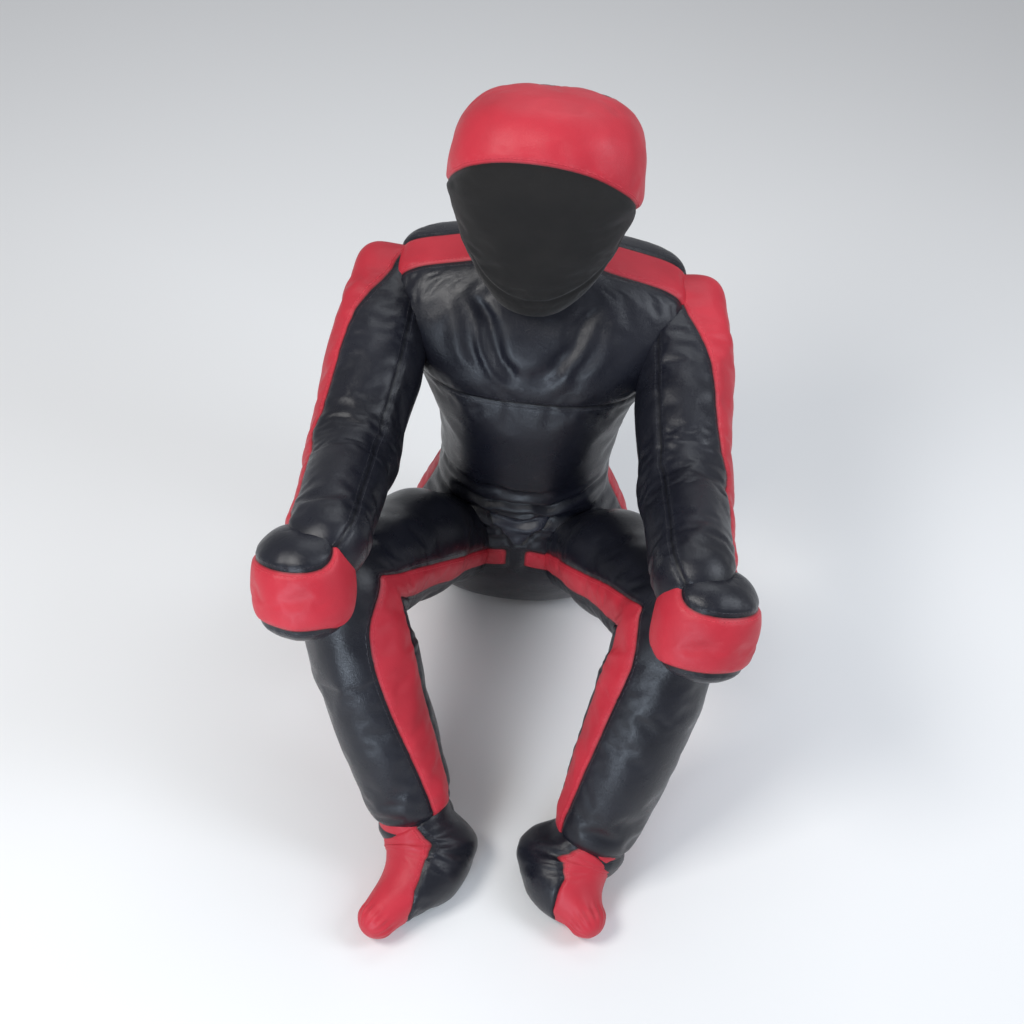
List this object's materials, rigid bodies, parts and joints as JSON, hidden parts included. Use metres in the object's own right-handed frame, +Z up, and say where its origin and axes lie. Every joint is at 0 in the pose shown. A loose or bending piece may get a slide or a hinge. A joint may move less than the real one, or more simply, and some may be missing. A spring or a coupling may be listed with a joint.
{
  "type": "grappling dummy",
  "caption": "Seated stuffed grappling dummy in black and red synthetic leather, with bending waist, neck, head, shoulders, elbows, wrists, hips, knees and ankles.",
  "frame": {"origin": "middle of the flat seat face, on the floor the dummy sits on", "axes": "+Z up, the dummy faces -Y, its left side is at +X"},
  "size_m": [0.6271, 0.8349, 0.9071],
  "materials": {
    "black_leather": "satin synthetic leather",
    "red_leather": "satin synthetic leather",
    "matte_black": "matte woven fabric",
    "stuffing": "packed textile waste"
  },
  "bodies": {
    "chest": {"back_panel": "black_leather", "belly_panel": "black_leather", "chest_stuffing": "stuffing", "chest_yoke": "black_leather", "shoulder_strap_left": "red_leather", "shoulder_strap_right": "red_leather"},
    "pelvis": {"crotch_band": "black_leather", "hip_panel_left": "black_leather", "hip_panel_right": "black_leather", "pelvis_stuffing": "stuffing", "seat_cover": "black_leather"},
    "head": {"crown_panel": "black_leather", "face_panel": "matte_black", "head_gusset": "red_leather", "head_stuffing": "stuffing"},
    "foot_left": {"foot_left_sock": "black_leather", "foot_left_stuffing": "stuffing", "foot_left_top": "red_leather"},
    "foot_right": {"foot_right_sock": "black_leather", "foot_right_stuffing": "stuffing", "foot_right_top": "red_leather"},
    "forearm_left": {"forearm_left_cover": "black_leather", "forearm_left_stripe": "red_leather", "forearm_left_stuffing": "stuffing"},
    "forearm_right": {"forearm_right_cover": "black_leather", "forearm_right_stripe": "red_leather", "forearm_right_stuffing": "stuffing"},
    "hand_left": {"hand_left_back": "black_leather", "hand_left_band": "red_leather", "hand_left_palm": "black_leather", "hand_left_stuffing": "stuffing"},
    "hand_right": {"hand_right_back": "black_leather", "hand_right_band": "red_leather", "hand_right_palm": "black_leather", "hand_right_stuffing": "stuffing"},
    "hip_joint_left": {"hip_joint_left": "stuffing"},
    "hip_joint_right": {"hip_joint_right": "stuffing"},
    "neck": {"neck_stuffing": "stuffing"},
    "shin_left": {"shin_left_cover": "black_leather", "shin_left_stripe": "red_leather", "shin_left_stuffing": "stuffing"},
    "shin_right": {"shin_right_cover": "black_leather", "shin_right_stripe": "red_leather", "shin_right_stuffing": "stuffing"},
    "shoulder_joint_left": {"shoulder_joint_left": "stuffing"},
    "shoulder_joint_right": {"shoulder_joint_right": "stuffing"},
    "thigh_left": {"thigh_left_cover": "black_leather", "thigh_left_stripe": "red_leather", "thigh_left_stuffing": "stuffing"},
    "thigh_right": {"thigh_right_cover": "black_leather", "thigh_right_stripe": "red_leather", "thigh_right_stuffing": "stuffing"},
    "upper_arm_left": {"upper_arm_left_cover": "black_leather", "upper_arm_left_stripe": "red_leather", "upper_arm_left_stuffing": "stuffing"},
    "upper_arm_right": {"upper_arm_right_cover": "black_leather", "upper_arm_right_stripe": "red_leather", "upper_arm_right_stuffing": "stuffing"}
  },
  "joints": [
    {"name": "waist_bend", "type": "hinge", "parent": "pelvis", "child": "chest", "pos_m": [0, 0.05, 0.262], "axis": [1, 0, 0], "range_deg": [-12, 0]},
    {"name": "neck_nod", "type": "hinge", "parent": "chest", "child": "neck", "pos_m": [0, 0.074, 0.612], "axis": [1, 0, 0], "range_deg": [-14, 9]},
    {"name": "head_turn", "type": "hinge", "parent": "neck", "child": "head", "pos_m": [0, 0.074, 0.612], "axis": [0, -0.0995, 0.995], "range_deg": [-40, 40]},
    {"name": "shoulder_swing_right", "type": "hinge", "parent": "chest", "child": "shoulder_joint_right", "pos_m": [-0.206, 0.08, 0.56], "axis": [-1, 0, 0], "range_deg": [0, 60]},
    {"name": "arm_raise_right", "type": "hinge", "parent": "shoulder_joint_right", "child": "upper_arm_right", "pos_m": [-0.206, 0.08, 0.56], "axis": [0, 0.3474, -0.9377], "range_deg": [-1, 40]},
    {"name": "elbow_bend_right", "type": "hinge", "parent": "upper_arm_right", "child": "forearm_right", "pos_m": [-0.23, -0.171, 0.467], "axis": [-0.986, 0.0339, 0.163], "range_deg": [0, 65]},
    {"name": "wrist_bend_right", "type": "hinge", "parent": "forearm_right", "child": "hand_right", "pos_m": [-0.229, -0.368, 0.514], "axis": [0.8667, -0.1116, -0.4861], "range_deg": [-30, 0]},
    {"name": "hip_flex_right", "type": "hinge", "parent": "pelvis", "child": "hip_joint_right", "pos_m": [-0.094, 0, 0.115], "axis": [-1, 0, 0], "range_deg": [-38, 0]},
    {"name": "hip_spread_right", "type": "hinge", "parent": "hip_joint_right", "child": "thigh_right", "pos_m": [-0.094, 0, 0.115], "axis": [0, -0.6226, -0.7825], "range_deg": [-2, 14]},
    {"name": "knee_bend_right", "type": "hinge", "parent": "thigh_right", "child": "shin_right", "pos_m": [-0.221, -0.323, 0.372], "axis": [0.9177, -0.047, 0.3945], "range_deg": [-38, 8]},
    {"name": "ankle_bend_right", "type": "hinge", "parent": "shin_right", "child": "foot_right", "pos_m": [-0.10353, -0.46934, 0.08131], "axis": [-0.7738, 0.3823, -0.5051], "range_deg": [-20, 16]},
    {"name": "shoulder_swing_left", "type": "hinge", "parent": "chest", "child": "shoulder_joint_left", "pos_m": [0.2, 0.08, 0.555], "axis": [-1, 0, 0], "range_deg": [0, 60]},
    {"name": "arm_raise_left", "type": "hinge", "parent": "shoulder_joint_left", "child": "upper_arm_left", "pos_m": [0.2, 0.08, 0.555], "axis": [0, -0.3441, 0.9389], "range_deg": [-1, 40]},
    {"name": "elbow_bend_left", "type": "hinge", "parent": "upper_arm_left", "child": "forearm_left", "pos_m": [0.221, -0.171, 0.463], "axis": [-0.9945, -0.0492, -0.0927], "range_deg": [0, 65]},
    {"name": "wrist_bend_left", "type": "hinge", "parent": "forearm_left", "child": "hand_left", "pos_m": [0.226, -0.368, 0.514], "axis": [0.9303, 0.1139, 0.3487], "range_deg": [-30, 0]},
    {"name": "hip_flex_left", "type": "hinge", "parent": "pelvis", "child": "hip_joint_left", "pos_m": [0.094, 0, 0.115], "axis": [-1, 0, 0], "range_deg": [-38, 0]},
    {"name": "hip_spread_left", "type": "hinge", "parent": "hip_joint_left", "child": "thigh_left", "pos_m": [0.094, 0, 0.115], "axis": [0, 0.6196, 0.7849], "range_deg": [-2, 14]},
    {"name": "knee_bend_left", "type": "hinge", "parent": "thigh_left", "child": "shin_left", "pos_m": [0.224, -0.323, 0.37], "axis": [0.9404, 0.1306, -0.314], "range_deg": [-38, 8]},
    {"name": "ankle_bend_left", "type": "hinge", "parent": "shin_left", "child": "foot_left", "pos_m": [0.14483, -0.47525, 0.06956], "axis": [-0.8574, -0.3313, 0.3938], "range_deg": [-20, 16]}
  ]
}
